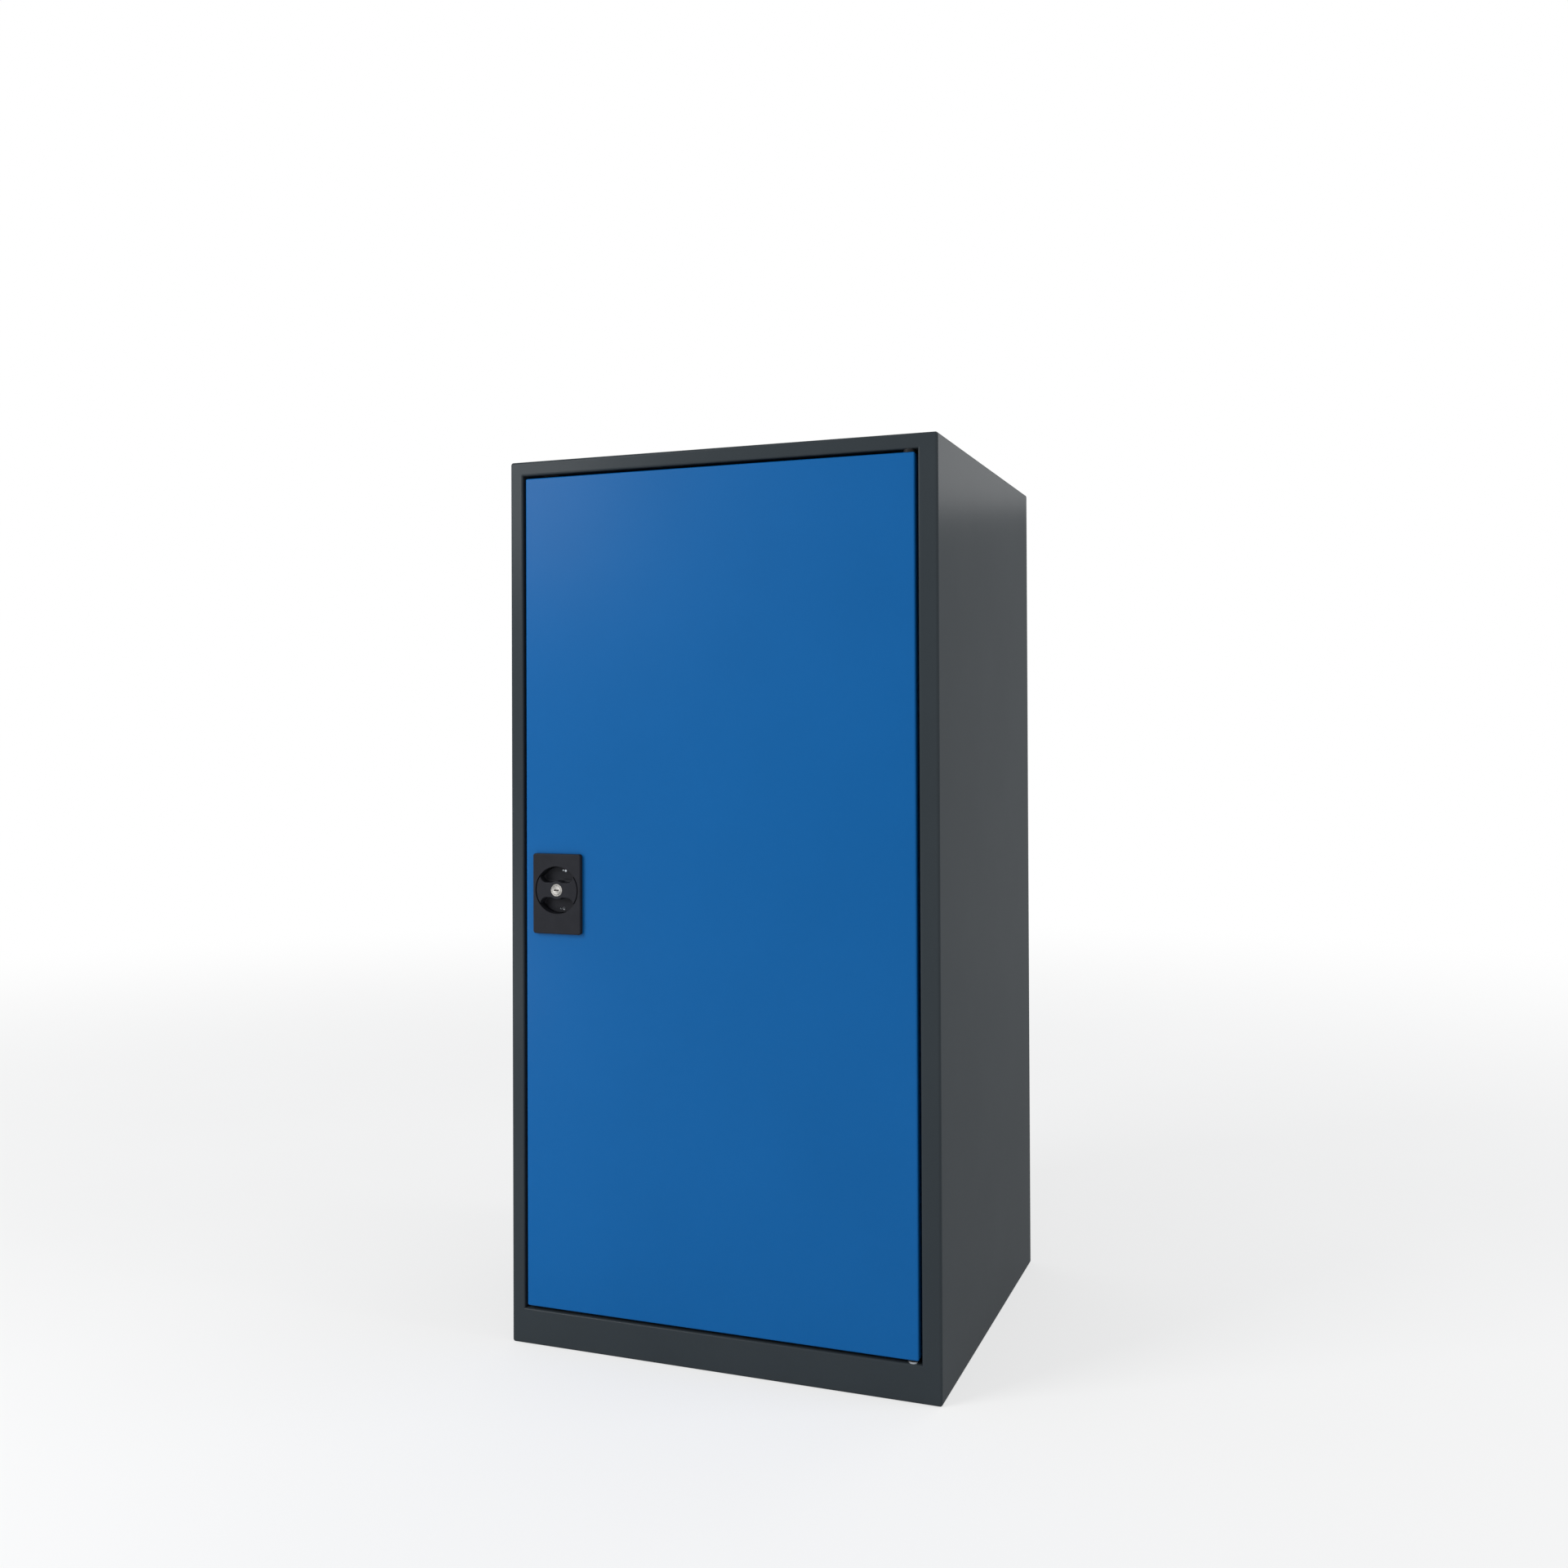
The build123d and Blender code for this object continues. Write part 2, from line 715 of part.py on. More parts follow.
def rod_guide(name, x, middle):
    """A nylon block on the door skin with a slot that a rod runs through."""
    half_x = rod_width / 2 + rod_play
    half_y = gear_thickness / 2 + rod_play
    with BuildPart() as guide:
        block(
            (x - half_x - guide_wall, skin_back, middle - guide_length / 2),
            (x + half_x + guide_wall, rod_middle + half_y + guide_wall / 2, middle + guide_length / 2),
        )
        block(
            (x - half_x, rod_middle - half_y, middle - guide_length / 2 - overrun),
            (x + half_x, rod_middle + half_y, middle + guide_length / 2 + overrun),
            mode=Mode.SUBTRACT,
        )
    save(guide, name)


rod_guide("rod_guide_top", lock_x - rod_center, door_top - guide_inset)
rod_guide("rod_guide_bottom", lock_x + rod_center, door_bottom + guide_inset)


def is_rim(edge):
    """Whether an edge lies on the knob's round outside."""
    return edge.geom_type == GeomType.CIRCLE and abs(edge.radius - knob_radius) < fit_play


# Knob: a round turn-grip in the dish, with two finger scoops either side of a cross grip
pocket_front = bolt_front - bolt_play
pocket_back = bolt_back + bolt_play
socket_end = pocket_back + socket_wall
with BuildPart() as knob:
    with BuildSketch(lock_plane(knob_back)):
        Circle(knob_radius)
    extrude(amount=knob_back - plate_face)
    with BuildSketch(lock_plane(scoop_bottom)) as scoops:
        Circle(knob_radius + scoop_overlap)
        Rectangle((knob_radius + scoop_overlap + overrun) * 2, grip_width, mode=Mode.SUBTRACT)
        Circle(grip_boss_radius, mode=Mode.SUBTRACT)
        fillet(scoops.vertices().filter_by(lambda v: abs(v.X) > knob_radius / 2), scoop_corner)
        fillet(scoops.vertices().filter_by(lambda v: abs(v.X) < grip_boss_radius), grip_blend)
    extrude(amount=scoop_depth, mode=Mode.SUBTRACT)
    scoop_floors = knob.faces().filter_by(lambda f: abs(f.center().Y - scoop_bottom) < fit_play)
    grip_feet = scoop_floors.edges().filter_by(lambda e: not is_rim(e))
    fillet(grip_feet, scoop_floor_radius)
    fillet(knob.faces().sort_by(Axis.Y)[0].edges(), knob_edge)
    with BuildSketch(lock_plane(knob_back)):
        Circle(hub_radius)
    extrude(amount=-(dish_floor + knob_play + gear_gap / 2))
    with BuildSketch(lock_plane(pocket_front)):
        Circle(cylinder_radius + fit_play)
    extrude(amount=cylinder_length + overrun, mode=Mode.SUBTRACT)
    block(
        (lock_x - dish_radius, pocket_front, lock_height - bolt_width / 2 - bolt_play),
        (lock_x + pin_side + bolt_heel + bolt_play, pocket_back, lock_height + bolt_width / 2 + bolt_play),
        mode=Mode.SUBTRACT,
    )
    # Square socket for the spindle
    with BuildSketch(lock_plane(dish_back + gear_gap)):
        Rectangle(spindle_side + fit_play * 2, spindle_side + fit_play * 2)
    extrude(amount=dish_back + gear_gap - socket_end, mode=Mode.SUBTRACT)
save(knob, "knob")

# Spindle: square in the knob and the pinion, round in the case, square again for the cam
with BuildPart() as spindle:
    with BuildSketch(lock_plane(cam_back)):
        Rectangle(spindle_side, spindle_side)
    extrude(amount=cam_back - socket_end - fit_play)
    with BuildSketch(lock_plane(cam_front)):
        Circle(journal_radius)
    extrude(amount=cam_front - gear_back)
    with BuildSketch(lock_plane(cam_back)):
        Circle(cam_screw_radius + fit_play)
    extrude(amount=cam_screw_grip, mode=Mode.SUBTRACT)
save(spindle, "spindle")

# Pinion with involute teeth, one tooth pointing at each rack
base_radius = pitch_radius * cos(pressure_angle)
tip_radius = pitch_radius + gear_module
root_radius = pitch_radius - gear_module * (1 + root_clearance_share)
tooth_pitch = pi * gear_module
half_tooth = (tooth_pitch - gear_backlash) / 4 / pitch_radius


def flank_angle(radius):
    """Angle from the tooth's middle to its flank at one radius."""
    turn = acos(min(1, base_radius / radius))
    return half_tooth + tan(pressure_angle) - pressure_angle - tan(turn) + turn


def polar(radius, angle):
    """A point given by its radius and angle."""
    return (radius * cos(angle), radius * sin(angle))


flank_rise = (tip_radius - base_radius) / flank_steps
flank_radii = [base_radius + flank_rise * step for step in range(flank_steps + 1)]
upper_flank = [polar(r, flank_angle(r)) for r in flank_radii]
lower_flank = [(x, -y) for x, y in upper_flank]
with BuildSketch() as tooth:
    with BuildLine():
        Polyline(lower_flank[0], polar(root_radius / 2, -flank_angle(base_radius)))
        Polyline(
            polar(root_radius / 2, -flank_angle(base_radius)),
            polar(root_radius / 2, flank_angle(base_radius)),
            upper_flank[0],
        )
        Spline(*upper_flank)
        ThreePointArc(upper_flank[-1], (tip_radius, 0), lower_flank[-1])
        Spline(*lower_flank)
    make_face()

with BuildPart() as drive_pinion:
    with BuildSketch(lock_plane(gear_back)):
        Circle(root_radius)
        with PolarLocations(0, pinion_teeth):
            add(tooth.sketch)
        Rectangle(spindle_side + fit_play * 2, spindle_side + fit_play * 2, mode=Mode.SUBTRACT)
    extrude(amount=gear_thickness)
save(drive_pinion, "drive_pinion")

# Latch cam: hangs down when free and swings behind the door stop when the knob turns
with BuildPart() as latch_cam:
    with BuildSketch(lock_plane(cam_back)):
        Circle(cam_width / 2)
        with Locations((0, -cam_reach / 2)):
            Rectangle(cam_width, cam_reach)
        Rectangle(spindle_side + fit_play * 2, spindle_side + fit_play * 2, mode=Mode.SUBTRACT)
    extrude(amount=cam_sheet)
    fillet(latch_cam.edges().filter_by(Axis.Y).group_by(Axis.Z)[0], cam_width / 4)
save(latch_cam, "latch_cam")

with BuildPart() as cam_screw:
    with BuildSketch(lock_plane(cam_back)):
        Circle(cam_screw_head_radius)
    extrude(amount=-cam_screw_head)
    with BuildSketch(lock_plane(cam_back)):
        Circle(cam_screw_radius)
    extrude(amount=cam_screw_grip - fit_play)
save(cam_screw, "cam_screw")

# Key cylinder in the knob's grip
cylinder_face = plate_face - cylinder_proud
cylinder_end = cylinder_face + cylinder_length
with BuildPart() as lock_cylinder:
    with BuildSketch(lock_plane(cylinder_end)):
        Circle(cylinder_radius)
        Circle(plug_radius + fit_play, mode=Mode.SUBTRACT)
    extrude(amount=cylinder_length)
    rim = lock_cylinder.faces().sort_by(Axis.Y)[0].outer_wire().edges()
    fillet(rim, cylinder_proud)
save(lock_cylinder, "lock_cylinder")

with BuildPart() as key_plug:
    with BuildSketch(lock_plane(cylinder_end)):
        Circle(plug_radius)
    extrude(amount=cylinder_length)
    with BuildSketch(lock_plane(cylinder_face + keyway_depth)):
        Rectangle(keyway_length, keyway_width)
    extrude(amount=keyway_depth + overrun, mode=Mode.SUBTRACT)
    with BuildSketch(lock_plane(bolt_back)):
        with Locations((pin_side, -pin_side)):
            Circle(drive_pin_radius)
    extrude(amount=bolt_back - cylinder_end)
save(key_plug, "key_plug")

# Lock bolt: slides out of the grip's end into the dish wall when the key is turned
slot_half = drive_pin_radius + drive_pin_play
slot_top = lock_height - pin_side + slot_half
slot_bottom = lock_height - drive_pin_throw - slot_half
with BuildPart() as lock_bolt:
    block(
        (lock_x - bolt_tip, bolt_front, lock_height - bolt_width / 2),
        (lock_x + pin_side + bolt_heel, bolt_back, lock_height + bolt_width / 2),
    )
    block(
        (lock_x + pin_side - slot_half, bolt_front - overrun, slot_bottom),
        (lock_x + pin_side + slot_half, bolt_back + overrun, slot_top),
        mode=Mode.SUBTRACT,
    )
save(lock_bolt, "lock_bolt")

# Rack rods: each is a flat bar whose toothed edge runs on one side of the pinion
space_half = (tooth_pitch + gear_backlash) / 4
tip_half = space_half + gear_module * tan(pressure_angle)
root_depth = gear_module * (1 + root_clearance_share)
root_half = space_half - root_depth * tan(pressure_angle)
travel_teeth = round(rod_travel / tooth_pitch)
rack_turns = range(-travel_teeth - spare_teeth, spare_teeth + 1)
rack_end = tooth_pitch * (travel_teeth + spare_teeth + 1 / 2) + rod_tail


def rack_rod(name, side, reach):
    """One rod: side -1 runs up on the pinion's left, side 1 runs down on its right."""
    tip_line = side * (pitch_radius - gear_module)
    root_line = side * (pitch_radius + root_depth)
    far_line = side * (pitch_radius - gear_module + rod_width)
    low = side * rack_end
    high = -side * reach
    with BuildPart() as rod:
        with BuildSketch(lock_plane(gear_back)):
            with BuildLine():
                Polyline(
                    (tip_line, low),
                    (far_line, low),
                    (far_line, high + side * rod_point),
                    (far_line - side * rod_point, high),
                    (tip_line + side * rod_point, high),
                    (tip_line, high + side * rod_point),
                    close=True,
                )
            make_face()
            for turn in rack_turns:
                z = -side * turn * tooth_pitch
                with BuildLine():
                    Polyline(
                        (tip_line, z - tip_half),
                        (root_line, z - root_half),
                        (root_line, z + root_half),
                        (tip_line, z + tip_half),
                        close=True,
                    )
                make_face(mode=Mode.SUBTRACT)
        extrude(amount=gear_thickness)
    save(rod, name)


rack_rod("upper_rod", -1, door_top - rod_end_inset - lock_height)
rack_rod("lower_rod", 1, lock_height - door_bottom - rod_end_inset)
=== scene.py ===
# %% [markdown]
# # Dressing a chemical storage cabinet
# The solids of this cabinet come ready made: a folded steel carcass, a flush door on two pivots, and a
# turn-grip lock with racks and rods behind it. In this lesson they get a camera, light and finishes,
# and finer pieces are added or take the place of a few plain ones. We never move or reshape a solid.

import json
from math import pi, radians

import bpy
from mathutils import Matrix, Vector


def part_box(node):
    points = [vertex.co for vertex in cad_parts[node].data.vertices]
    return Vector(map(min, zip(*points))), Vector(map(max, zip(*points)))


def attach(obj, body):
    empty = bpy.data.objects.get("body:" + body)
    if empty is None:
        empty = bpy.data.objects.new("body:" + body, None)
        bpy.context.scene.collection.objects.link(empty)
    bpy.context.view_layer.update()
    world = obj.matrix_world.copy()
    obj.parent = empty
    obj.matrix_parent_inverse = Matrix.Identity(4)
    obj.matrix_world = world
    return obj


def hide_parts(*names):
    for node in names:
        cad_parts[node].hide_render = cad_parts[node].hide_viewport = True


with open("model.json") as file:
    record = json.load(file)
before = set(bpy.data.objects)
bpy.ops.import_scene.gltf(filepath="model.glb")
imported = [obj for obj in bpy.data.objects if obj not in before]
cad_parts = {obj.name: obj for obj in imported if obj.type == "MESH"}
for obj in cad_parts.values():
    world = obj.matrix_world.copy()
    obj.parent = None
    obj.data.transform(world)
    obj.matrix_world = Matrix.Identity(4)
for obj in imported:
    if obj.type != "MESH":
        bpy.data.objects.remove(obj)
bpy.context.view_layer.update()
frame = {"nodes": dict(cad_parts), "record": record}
slot_of = {row["node"]: row["material_slot"] for row in frame["record"]["subparts"]}
bpy.ops.object.select_all(action="DESELECT")

# %% [markdown]
# ## The camera
# A picture of a box tells where it was taken from, because its parallel edges run to vanishing points.
# Here the lens stood to the right of the cabinet, about 1.7 metres from the middle of the door and a
# hand's breadth under the upper shelf. We write the place, the three turns and the lens as plain
# numbers, so the picture and the model lie on each other.

# %% Camera
eye = Vector((0.6460, -1.7946, 0.6887))
yaw = radians(21.063)
pitch = radians(0.489)
roll = radians(-0.224)
camera_data = bpy.data.cameras.new("photo_camera")
camera_data.sensor_width = 36.0
camera_data.lens = 35.779
camera_data.shift_x = 0.020
camera_data.shift_y = -0.040
camera = bpy.data.objects.new("photo_camera", camera_data)
bpy.context.scene.collection.objects.link(camera)
camera.matrix_world = (
    Matrix.Translation(eye)
    @ Matrix.Rotation(yaw, 4, "Z")
    @ Matrix.Rotation(pi / 2 + pitch, 4, "X")
    @ Matrix.Rotation(roll, 4, "Z")
)
bpy.context.scene.camera = camera
bpy.context.scene.view_settings.view_transform = "Standard"
print("camera at", tuple(eye))

# %% [markdown]
# ## Floor and surroundings
# A product picture stands on a pale floor that melts into a pale background. A real studio bends paper
# up behind the object, but then the model could not be looked at from behind. So we use one large round
# floor and a white sky, and mix a glow into the floor where the camera or a mirror looks at it: it
# turns white but keeps the shadow.

# %% Helpers for node materials


def material(name):
    """A new material with an empty node tree, its tree and its output node."""
    made = bpy.data.materials.new(name)
    made.use_nodes = True
    made.node_tree.nodes.clear()
    out = made.node_tree.nodes.new("ShaderNodeOutputMaterial")
    return made, made.node_tree, out


def node(tree, kind, **settings):
    """One node; a setting names a property, or an input when no property has that name."""
    made = tree.nodes.new("ShaderNode" + kind)
    for key, value in settings.items():
        if hasattr(made, key):
            setattr(made, key, value)
        else:
            made.inputs[key.replace("_", " ")].default_value = value
    return made


def seen_directly(tree):
    """1 where the camera, a mirror or a glass looks, 0 for light on its way."""
    path = node(tree, "LightPath")
    first = node(tree, "Math", operation="MAXIMUM")
    both = node(tree, "Math", operation="MAXIMUM")
    tree.links.new(path.outputs["Is Camera Ray"], first.inputs[0])
    tree.links.new(path.outputs["Is Glossy Ray"], first.inputs[1])
    tree.links.new(first.outputs[0], both.inputs[0])
    tree.links.new(path.outputs["Is Transmission Ray"], both.inputs[1])
    return both.outputs[0]


# %% Floor paper
dark_paper = (0.80, 0.80, 0.80, 1)
light_paper = (0.84, 0.84, 0.84, 1)
near_radius = 0.9
near_glow = 0.62
far_radius = 4.0
far_glow = 1.0

floor_paper, tree, out = material("floor_paper")
paper_grain = node(tree, "TexNoise", Scale=3.0, Detail=2.0)
paper_place = node(tree, "TexCoord")
paper_tone = node(tree, "Mix", data_type="RGBA")
paper_tone.inputs["A"].default_value = dark_paper
paper_tone.inputs["B"].default_value = light_paper
paper = node(tree, "BsdfDiffuse")
glow = node(tree, "Emission", Strength=1.0)
from_middle = node(tree, "VectorMath", operation="LENGTH")
glow_fade = node(tree, "MapRange", interpolation_type="SMOOTHSTEP")
glow_fade.inputs["From Min"].default_value = near_radius
glow_fade.inputs["From Max"].default_value = far_radius
glow_fade.inputs["To Min"].default_value = near_glow
glow_fade.inputs["To Max"].default_value = far_glow
glow_share = node(tree, "Math", operation="MULTIPLY")
blend = node(tree, "MixShader")
tree.links.new(paper_place.outputs["Object"], paper_grain.inputs["Vector"])
tree.links.new(paper_place.outputs["Object"], from_middle.inputs[0])
tree.links.new(from_middle.outputs["Value"], glow_fade.inputs["Value"])
tree.links.new(glow_fade.outputs["Result"], glow_share.inputs[1])
tree.links.new(paper_grain.outputs["Fac"], paper_tone.inputs["Factor"])
tree.links.new(paper_tone.outputs["Result"], paper.inputs["Color"])
tree.links.new(seen_directly(tree), glow_share.inputs[0])
tree.links.new(glow_share.outputs[0], blend.inputs[0])
tree.links.new(paper.outputs[0], blend.inputs[1])
tree.links.new(glow.outputs[0], blend.inputs[2])
tree.links.new(blend.outputs[0], out.inputs["Surface"])
print("floor glow grows from", near_radius, "to", far_radius, "m off the middle")

# %% Floor
floor_radius = 30
bpy.ops.mesh.primitive_circle_add(vertices=96, radius=floor_radius, fill_type="NGON")
floor = bpy.context.object
floor.name = "floor"
floor.data.materials.append(floor_paper)
print("floor of radius", floor_radius, "m")

# %% World
world = bpy.data.worlds.new("pale_room")
bpy.context.scene.world = world
world.use_nodes = True
tree = world.node_tree
tree.nodes.clear()
room_light = node(tree, "Background", Color=(0.96, 0.98, 1.0, 1), Strength=0.55)
white_wall = node(tree, "Background", Color=(1, 1, 1, 1), Strength=1.0)
sky = node(tree, "MixShader")
sky_out = node(tree, "OutputWorld")
tree.links.new(seen_directly(tree), sky.inputs[0])
tree.links.new(room_light.outputs[0], sky.inputs[1])
tree.links.new(white_wall.outputs[0], sky.inputs[2])
tree.links.new(sky.outputs[0], sky_out.inputs["Surface"])
print("world of plain light")

# %% [markdown]
# ## Light
# Satin paint shows its shape by what it mirrors. A wide soft lamp stands front left and high, so that
# the door brightens towards its top left corner. A weaker one lights the side wall from the right. A
# third stands far behind: the side wall mirrors it at a flat angle, which gives the pale band under the
# top edge. The last is only a small soft box, low on the left, for the pale rim of the door by the
# lock.

# %% Lamps


def soft_lamp(name, place, target, width, height, power):
    """A rectangular soft box that looks at a point."""
    data = bpy.data.lights.new(name, "AREA")
    data.shape = "RECTANGLE"
    data.size = width
    data.size_y = height
    data.energy = power
    lamp = bpy.data.objects.new(name, data)
    bpy.context.scene.collection.objects.link(lamp)
    lamp.location = place
    lamp.rotation_euler = (Vector(target) - Vector(place)).to_track_quat("-Z", "Y").to_euler()
    lamp.visible_camera = False


soft_lamp("key_lamp", (-1.9, -2.4, 2.0), (0, -0.2, 0.6), width=1.4, height=1.8, power=60)
soft_lamp("side_lamp", (2.6, 0.2, 2.2), (0.25, 0, 0.6), width=1.6, height=1.2, power=26)
soft_lamp("back_lamp", (1.58, 3.55, 2.05), (0.25, 0, 0.8), width=1.8, height=1.1, power=15)
soft_lamp("low_lamp", (-1.02, -1.15, 0.27), (-0.25, -0.235, 0.42), width=0.46, height=0.30, power=1.6)
print("four lamps")

# %% [markdown]
# ## Powder coat
# The carcass and the door are dusted with dry paint that melts into a slightly rippled skin. Under a
# loupe it looks like orange peel; from afar it only softens the reflections. A fine noise drives the
# bump, a broad one shifts the tone by a few percent, and a middle one varies the gloss, because no
# sprayed sheet is perfectly even. The room here is white all round, and a full gloss would wash the
# colour out, so on the carcass and the door a thin coat over a matt base carries the shine.

# %% Helpers for finishes
pattern_low = 0.3
pattern_high = 0.7


def linear(red, green, blue):
    """A screen colour, 0 to 255, as the linear colour that shaders use."""
    shares = [value / 255 for value in (red, green, blue)]
    return tuple(s / 12.92 if s <= 0.04045 else ((s + 0.055) / 1.055) ** 2.4 for s in shares) + (1,)


def noise(tree, place, scale, detail):
    """A noise pattern on the piece's own coordinates."""
    made = node(tree, "TexNoise", Scale=scale, Detail=detail)
    tree.links.new(place, made.inputs["Vector"])
    return made.outputs["Fac"]


def spread(tree, value, low, high):
    """A value that runs from low to high as the pattern runs over its middle range."""
    made = node(tree, "MapRange")
    made.inputs["From Min"].default_value = pattern_low
    made.inputs["From Max"].default_value = pattern_high
    made.inputs["To Min"].default_value = low
    made.inputs["To Max"].default_value = high
    tree.links.new(value, made.inputs["Value"])
    return made.outputs["Result"]


def two_tones(tree, value, dark, light):
    """A colour between two tones."""
    made = node(tree, "Mix", data_type="RGBA")
    made.inputs["A"].default_value = dark
    made.inputs["B"].default_value = light
    tree.links.new(spread(tree, value, 0.0, 1.0), made.inputs["Factor"])
    return made.outputs["Result"]


def bumped(tree, value, strength, height):
    """A bump of one pattern."""
    made = node(tree, "Bump", Strength=strength, Distance=height)
    tree.links.new(value, made.inputs["Height"])
    return made.outputs["Normal"]


# %% Powder coat
tone_detail = 3
gloss_detail = 2
grain_detail = 2
grain_strength = 0.35


def finish(name, dark, light, tone_scale, gloss, gloss_scale, grain_scale, grain_height, **sockets):
    """A material with a broad tone, a middle gloss and a fine grain, all on Object coordinates."""
    made, tree, out = material(name)
    place = node(tree, "TexCoord").outputs["Object"]
    shader = node(tree, "BsdfPrincipled")
    for key, value in sockets.items():
        shader.inputs[key.replace("_", " ")].default_value = value
    tone = two_tones(tree, noise(tree, place, tone_scale, tone_detail), dark, light)
    roughness = spread(tree, noise(tree, place, gloss_scale, gloss_detail), *gloss)
    grain = bumped(tree, noise(tree, place, grain_scale, grain_detail), grain_strength, grain_height)
    tree.links.new(tone, shader.inputs["Base Color"])
    tree.links.new(roughness, shader.inputs["Roughness"])
    tree.links.new(grain, shader.inputs["Normal"])
    tree.links.new(shader.outputs[0], out.inputs["Surface"])
    return made


finishes = {}
finishes["carcass_paint"] = finish(
    "carcass_paint", linear(50, 56, 60), linear(52, 58, 62), tone_scale=9, gloss=(0.46, 0.50),
    gloss_scale=160, grain_scale=650, grain_height=0.00003,
    Specular_IOR_Level=0.0, Coat_Weight=0.16, Coat_Roughness=0.2,
)
finishes["door_paint"] = finish(
    "door_paint", linear(8, 90, 153), linear(10, 92, 156), tone_scale=7, gloss=(0.38, 0.41),
    gloss_scale=160, grain_scale=650, grain_height=0.00004,
    Specular_IOR_Level=0.05, Coat_Weight=0.12, Coat_Roughness=0.22,
)
finishes["shelf_paint"] = finish(
    "shelf_paint", linear(190, 193, 191), linear(196, 198, 196), tone_scale=9, gloss=(0.42, 0.46),
    gloss_scale=160, grain_scale=650, grain_height=0.00005,
    Specular_IOR_Level=0.2,
)
print("powder coats", sorted(finishes))

# %% [markdown]
# ## Zinc, plastics and rubber
# Small fittings are plated or moulded. Zinc is a cloudy, cool grey metal with a satin shine. The lock
# is moulded in a spark-eroded tool, which leaves a fine matt grain. The bushes and guides are black
# nylon, a little smoother, and the buffers are matt rubber.

# %% Zinc, plastics and rubber
finishes["zinc_plate"] = finish(
    "zinc_plate", linear(156, 161, 167), linear(170, 174, 179), tone_scale=45, gloss=(0.40, 0.48),
    gloss_scale=70, grain_scale=900, grain_height=0.00001,
    Metallic=1.0,
)
finishes["lock_black"] = finish(
    "lock_black", linear(31, 32, 37), linear(35, 36, 41), tone_scale=60, gloss=(0.46, 0.52),
    gloss_scale=300, grain_scale=2200, grain_height=0.00003,
    Specular_IOR_Level=0.1,
)
finishes["nylon"] = finish(
    "nylon", linear(27, 27, 28), linear(33, 33, 34), tone_scale=50, gloss=(0.42, 0.52),
    gloss_scale=120, grain_scale=1800, grain_height=0.00003,
    Specular_IOR_Level=0.12,
)
finishes["rubber"] = finish(
    "rubber", linear(30, 30, 31), linear(38, 38, 39), tone_scale=60, gloss=(0.72, 0.82),
    gloss_scale=140, grain_scale=2400, grain_height=0.00004,
    Specular_IOR_Level=0.3,
)
print("finishes", sorted(finishes))

# %% [markdown]
# ## Turned nickel
# The key cylinder and its plug come off a lathe and are nickel plated. The tool leaves fine rings, here
# a quarter of a millimetre apart, and over such rings the light runs out in two bright sectors. A wave
# texture makes the rings, a Mapping node centres them on the axis of the cylinder, and a bump a
# hundredth of a millimetre high tilts the light. It is the one pattern here that must know where the
# axis is, so that is read from the frame first.

# %% Turned nickel
cylinder_low, cylinder_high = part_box("lock_cylinder")
axis_x = (cylinder_low[0] + cylinder_high[0]) / 2
axis_z = (cylinder_low[2] + cylinder_high[2]) / 2
lathe_scale = 1250
lathe_strength = 1.0
lathe_height = 0.000012
nickel = finish(
    "nickel_plate", linear(142, 140, 137), linear(154, 152, 149), tone_scale=120, gloss=(0.16, 0.22),
    gloss_scale=200, grain_scale=2600, grain_height=0.00001,
    Metallic=1.0,
)
tree = nickel.node_tree
centred = node(tree, "Mapping", Location=(-axis_x, 0, -axis_z))
lathe_rings = node(tree, "TexWave", wave_type="RINGS", rings_direction="Y", Scale=lathe_scale)
tree.links.new(node(tree, "TexCoord").outputs["Object"], centred.inputs["Vector"])
tree.links.new(centred.outputs["Vector"], lathe_rings.inputs["Vector"])
lathe_bump = bumped(tree, lathe_rings.outputs["Fac"], lathe_strength, lathe_height)
tree.links.new(lathe_bump, tree.nodes["Principled BSDF"].inputs["Normal"])
finishes["nickel_plate"] = nickel
print("lathe rings round", axis_x, axis_z)

# %% Finishes on the solids
for name, solid in frame["nodes"].items():
    solid.data.materials.clear()
    solid.data.materials.append(finishes[slot_of[name]])
print("finishes on", len(frame["nodes"]), "nodes")

# %% [markdown]
# ## Working by hand in edit mode
# The small fittings are modelled as one would with the mouse: add a primitive, pick faces or edges,
# then inset, extrude and bevel them. A few helpers keep that short. Two pick faces by where they look
# and edges by where they lie. Others name, join and copy pieces and apply a modifier. The last settles
# a finished piece: it is shaded smooth, gets its finish, and is told which body it moves with.

# %% Helpers for picking


def pick_faces(piece, test):
    """Goes to edit mode with only the faces picked whose middle and normal pass the test."""
    bpy.ops.object.mode_set(mode="EDIT")
    bpy.ops.mesh.select_mode(type="FACE")
    bpy.ops.mesh.select_all(action="DESELECT")
    bpy.ops.object.mode_set(mode="OBJECT")
    for face in piece.data.polygons:
        face.select = test(face.center, face.normal)
    bpy.ops.object.mode_set(mode="EDIT")


def pick_edges(piece, test):
    """Goes to edit mode with only the edges picked whose two ends pass the test."""
    bpy.ops.object.mode_set(mode="EDIT")
    bpy.ops.mesh.select_mode(type="EDGE")
    bpy.ops.mesh.select_all(action="DESELECT")
    bpy.ops.object.mode_set(mode="OBJECT")
    for edge in piece.data.edges:
        edge.select = test(*(piece.data.vertices[end].co for end in edge.vertices))
    bpy.ops.object.mode_set(mode="EDIT")


# %% Helpers for pieces


def new_piece(name):
    """The primitive that was just added, named, with its place and turn in its mesh."""
    piece = bpy.context.object
    piece.name = name
    piece.data.name = name
    bpy.ops.object.transform_apply(location=True, rotation=True, scale=True)
    return piece


